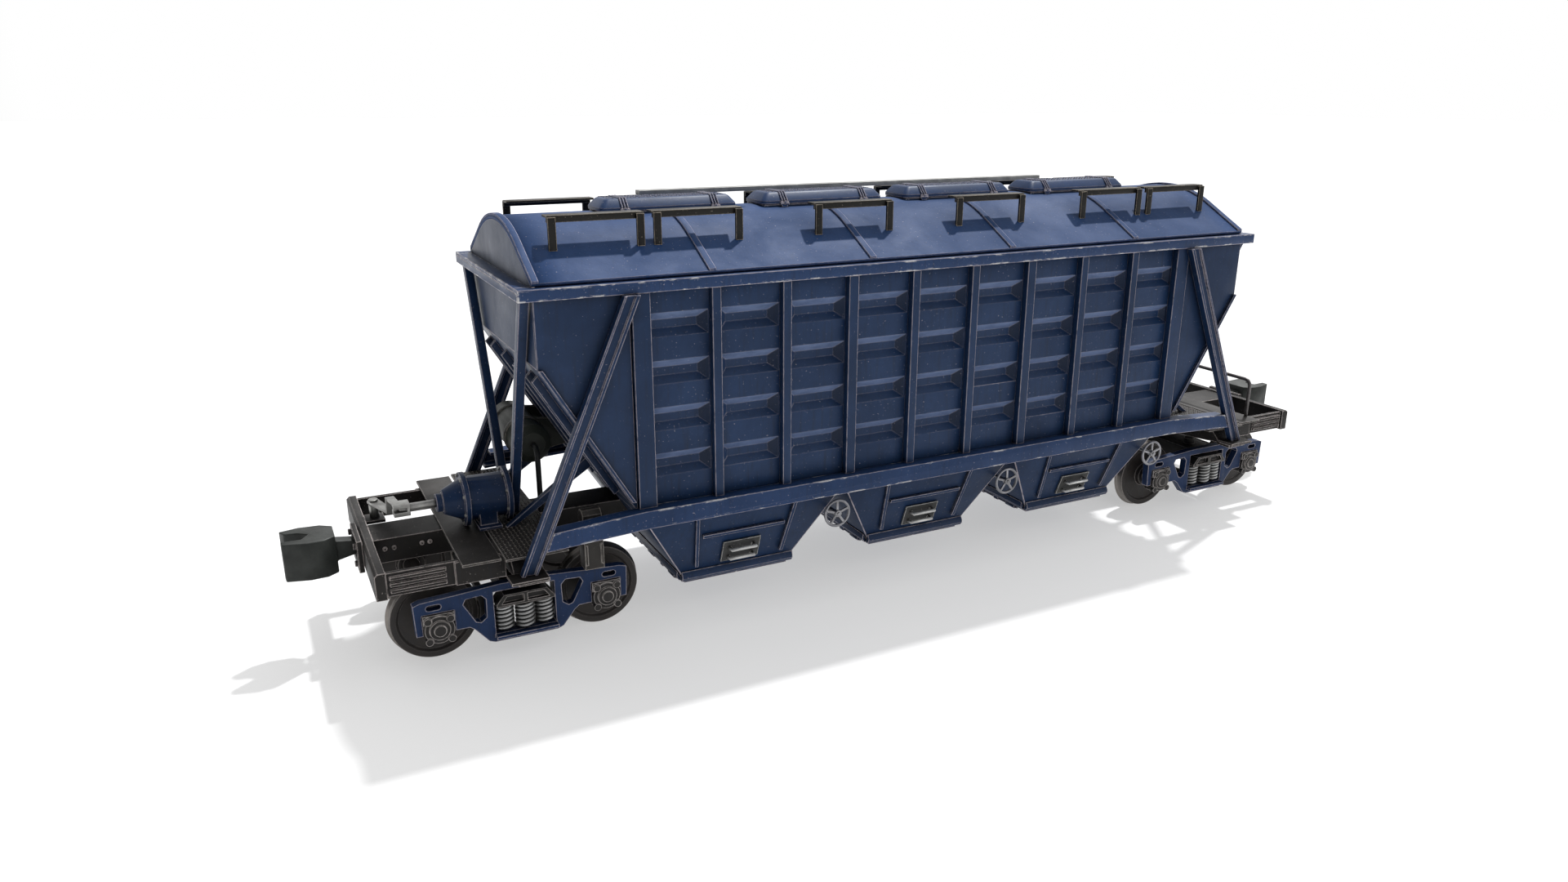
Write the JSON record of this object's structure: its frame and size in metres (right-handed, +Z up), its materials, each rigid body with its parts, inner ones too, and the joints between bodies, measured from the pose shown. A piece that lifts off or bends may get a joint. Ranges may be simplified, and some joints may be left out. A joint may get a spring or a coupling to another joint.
{
  "type": "model grain hopper car",
  "caption": "Scale model of a covered grain hopper wagon with roof hatches, bottom hoppers, sprung bogies and end platforms.",
  "frame": {"origin": "centre of the bounding box at the bottom of the wheels, on the plane the wheels stand on", "axes": "+X along the wagon, towards the end without the brake cylinder; +Z up"},
  "size_m": [0.4688, 0.106, 0.1509],
  "materials": {
    "navy_paint": "satin, worn edges",
    "roof_paint": "satin, orange peel",
    "cover_paint": "satin, worn edges",
    "frame_paint": "matt, brown-black, worn edges",
    "deck_paint": "matt, worn",
    "coupler_iron": "rough casting",
    "bench_paint": "matt, worn edges",
    "board_metal": "brushed, dull",
    "pin_steel": "satin",
    "gear_paint": "satin",
    "tank_paint": "satin",
    "pipe_paint": "satin",
    "box_paint": "matt",
    "rail_steel": "worn paint on steel",
    "wheel_steel": "rolled steel, dark, bright tread",
    "spring_steel": "satin",
    "handwheel_steel": "satin, worn",
    "step_paint": "worn",
    "axle_box_iron": "painted casting",
    "bolster_iron": "painted casting",
    "brake_iron": "rough casting"
  },
  "bodies": {
    "car_body": {"centre_sill": "frame_paint", "end_frames": "frame_paint", "deck_plates": "deck_paint", "body_bolsters": "frame_paint", "pivot_pins": "pin_steel", "side_sills": "navy_paint", "side_sheets": "navy_paint", "end_side_sheets": "navy_paint", "end_sheets": "navy_paint", "side_posts": "navy_paint", "eave_rails": "navy_paint", "roof_sheet": "roof_paint", "roof_bands": "roof_paint", "hatch_coamings": "navy_paint", "roof_benches": "bench_paint", "bench_legs": "bench_paint", "roof_board": "board_metal", "corner_braces": "navy_paint", "end_struts": "navy_paint", "stiffeners": "navy_paint", "brake_cylinder": "gear_paint", "air_tank": "tank_paint", "brake_pipes": "pipe_paint", "air_distributor": "box_paint", "handrail": "rail_steel", "hoppers": "navy_paint", "hopper_rims": "navy_paint", "step_plates": "step_paint", "handwheel_brackets": "navy_paint"},
    "hatch_1": {"hatch_cover_1": "cover_paint"},
    "hatch_2": {"hatch_cover_2": "cover_paint"},
    "hatch_3": {"hatch_cover_3": "cover_paint"},
    "hatch_4": {"hatch_cover_4": "cover_paint"},
    "wheel_1": {"handwheel_1": "handwheel_steel"},
    "door_1_left_leaf": {"door_1_left": "navy_paint"},
    "door_1_right_leaf": {"door_1_right": "navy_paint"},
    "wheel_2": {"handwheel_2": "handwheel_steel"},
    "door_2_left_leaf": {"door_2_left": "navy_paint"},
    "door_2_right_leaf": {"door_2_right": "navy_paint"},
    "wheel_3": {"handwheel_3": "handwheel_steel"},
    "door_3_left_leaf": {"door_3_left": "navy_paint"},
    "door_3_right_leaf": {"door_3_right": "navy_paint"},
    "coupler_left_swing": {"coupler_left": "coupler_iron"},
    "bogie_left_bolster": {"bolster_left": "bolster_iron"},
    "bogie_left_frame": {"side_frames_left": "navy_paint", "springs_left": "spring_steel", "axle_boxes_left": "axle_box_iron", "brake_beams_left": "brake_iron"},
    "wheelset_left_outer_spin": {"wheelset_left_outer": "wheel_steel"},
    "wheelset_left_inner_spin": {"wheelset_left_inner": "wheel_steel"},
    "coupler_right_swing": {"coupler_right": "coupler_iron"},
    "bogie_right_bolster": {"bolster_right": "bolster_iron"},
    "bogie_right_frame": {"side_frames_right": "navy_paint", "springs_right": "spring_steel", "axle_boxes_right": "axle_box_iron", "brake_beams_right": "brake_iron"},
    "wheelset_right_outer_spin": {"wheelset_right_outer": "wheel_steel"},
    "wheelset_right_inner_spin": {"wheelset_right_inner": "wheel_steel"},
    "piston": {"brake_piston": "pin_steel"},
    "lever": {"brake_lever": "pin_steel"}
  },
  "joints": [
    {"name": "hatch_1_hinge", "type": "hinge", "parent": "car_body", "child": "hatch_1", "pos_m": [-0.09375, 0.0104, 0.1475], "axis": [-1, 0, 0], "range_deg": [0, 110]},
    {"name": "hatch_2_hinge", "type": "hinge", "parent": "car_body", "child": "hatch_2", "pos_m": [-0.03125, 0.0104, 0.1475], "axis": [-1, 0, 0], "range_deg": [0, 110]},
    {"name": "hatch_3_hinge", "type": "hinge", "parent": "car_body", "child": "hatch_3", "pos_m": [0.03125, 0.0104, 0.1475], "axis": [-1, 0, 0], "range_deg": [0, 110]},
    {"name": "hatch_4_hinge", "type": "hinge", "parent": "car_body", "child": "hatch_4", "pos_m": [0.09375, 0.0104, 0.1475], "axis": [-1, 0, 0], "range_deg": [0, 110]},
    {"name": "handwheel_1_turn", "type": "hinge", "parent": "car_body", "child": "wheel_1", "pos_m": [-0.0437, -0.0439, 0.034], "axis": [0, -1, 0], "range_deg": [0, 360]},
    {"name": "door_1_left_hinge", "type": "hinge", "parent": "car_body", "child": "door_1_left_leaf", "pos_m": [-0.1028, 0, 0.0122], "axis": [0, 1, 0], "range_deg": [0, 27]},
    {"name": "door_1_right_hinge", "type": "hinge", "parent": "car_body", "child": "door_1_right_leaf", "pos_m": [-0.0578, 0, 0.0122], "axis": [0, -1, 0], "range_deg": [0, 27]},
    {"name": "handwheel_2_turn", "type": "hinge", "parent": "car_body", "child": "wheel_2", "pos_m": [0.0366, -0.0439, 0.034], "axis": [0, -1, 0], "range_deg": [0, 360]},
    {"name": "door_2_left_hinge", "type": "hinge", "parent": "car_body", "child": "door_2_left_leaf", "pos_m": [-0.0225, 0, 0.0122], "axis": [0, 1, 0], "range_deg": [0, 27]},
    {"name": "door_2_right_hinge", "type": "hinge", "parent": "car_body", "child": "door_2_right_leaf", "pos_m": [0.0225, 0, 0.0122], "axis": [0, -1, 0], "range_deg": [0, 27]},
    {"name": "handwheel_3_turn", "type": "hinge", "parent": "car_body", "child": "wheel_3", "pos_m": [0.1169, -0.0439, 0.034], "axis": [0, -1, 0], "range_deg": [0, 360]},
    {"name": "door_3_left_hinge", "type": "hinge", "parent": "car_body", "child": "door_3_left_leaf", "pos_m": [0.0578, 0, 0.0122], "axis": [0, 1, 0], "range_deg": [0, 27]},
    {"name": "door_3_right_hinge", "type": "hinge", "parent": "car_body", "child": "door_3_right_leaf", "pos_m": [0.1028, 0, 0.0122], "axis": [0, -1, 0], "range_deg": [0, 27]},
    {"name": "coupler_left_pivot", "type": "hinge", "parent": "car_body", "child": "coupler_left_swing", "pos_m": [-0.1976, 0, 0.0364], "axis": [0, 0, 1], "range_deg": [-8, 8]},
    {"name": "bogie_left_swivel", "type": "hinge", "parent": "car_body", "child": "bogie_left_bolster", "pos_m": [-0.162, 0, 0.0275], "axis": [0, 0, 1], "range_deg": [-5, 5]},
    {"name": "bogie_left_suspension", "type": "slide", "parent": "bogie_left_bolster", "child": "bogie_left_frame", "axis": [0, 0, 1], "range_m": [-0.0008, 0.0008], "stiffness_N_per_m": 6000, "springref_m": -0.00198, "deforming": ["springs_left"]},
    {"name": "wheelset_left_outer_axle", "type": "hinge", "parent": "bogie_left_frame", "child": "wheelset_left_outer_spin", "pos_m": [-0.1909, 0, 0.01572], "axis": [0, 1, 0], "continuous": true},
    {"name": "wheelset_left_inner_axle", "type": "hinge", "parent": "bogie_left_frame", "child": "wheelset_left_inner_spin", "pos_m": [-0.1331, 0, 0.01572], "axis": [0, 1, 0], "continuous": true},
    {"name": "coupler_right_pivot", "type": "hinge", "parent": "car_body", "child": "coupler_right_swing", "pos_m": [0.1976, 0, 0.0364], "axis": [0, 0, 1], "range_deg": [-8, 8]},
    {"name": "bogie_right_swivel", "type": "hinge", "parent": "car_body", "child": "bogie_right_bolster", "pos_m": [0.162, 0, 0.0275], "axis": [0, 0, 1], "range_deg": [-5, 5]},
    {"name": "bogie_right_suspension", "type": "slide", "parent": "bogie_right_bolster", "child": "bogie_right_frame", "axis": [0, 0, 1], "range_m": [-0.0008, 0.0008], "stiffness_N_per_m": 6000, "springref_m": -0.00198, "deforming": ["springs_right"]},
    {"name": "wheelset_right_outer_axle", "type": "hinge", "parent": "bogie_right_frame", "child": "wheelset_right_outer_spin", "pos_m": [0.1909, 0, 0.01572], "axis": [0, 1, 0], "continuous": true},
    {"name": "wheelset_right_inner_axle", "type": "hinge", "parent": "bogie_right_frame", "child": "wheelset_right_inner_spin", "pos_m": [0.1331, 0, 0.01572], "axis": [0, 1, 0], "continuous": true},
    {"name": "brake_piston_slide", "type": "slide", "parent": "car_body", "child": "piston", "axis": [-1, 0, 0], "range_m": [0, 0.004]},
    {"name": "brake_lever_pivot", "type": "hinge", "parent": "car_body", "child": "lever", "pos_m": [-0.2024, 0.015, 0.0455], "axis": [0, 0, -1], "range_deg": [0, 10]}
  ],
  "couplings": [
    {"joint": "door_1_right_hinge", "follows": "door_1_left_hinge", "ratio": 1},
    {"joint": "handwheel_1_turn", "follows": "door_1_left_hinge", "ratio": 13.333},
    {"joint": "door_2_right_hinge", "follows": "door_2_left_hinge", "ratio": 1},
    {"joint": "handwheel_2_turn", "follows": "door_2_left_hinge", "ratio": 13.333},
    {"joint": "door_3_right_hinge", "follows": "door_3_left_hinge", "ratio": 1},
    {"joint": "handwheel_3_turn", "follows": "door_3_left_hinge", "ratio": 13.333},
    {"joint": "brake_lever_pivot", "follows": "brake_piston_slide", "rad_per_m": 40.816}
  ]
}
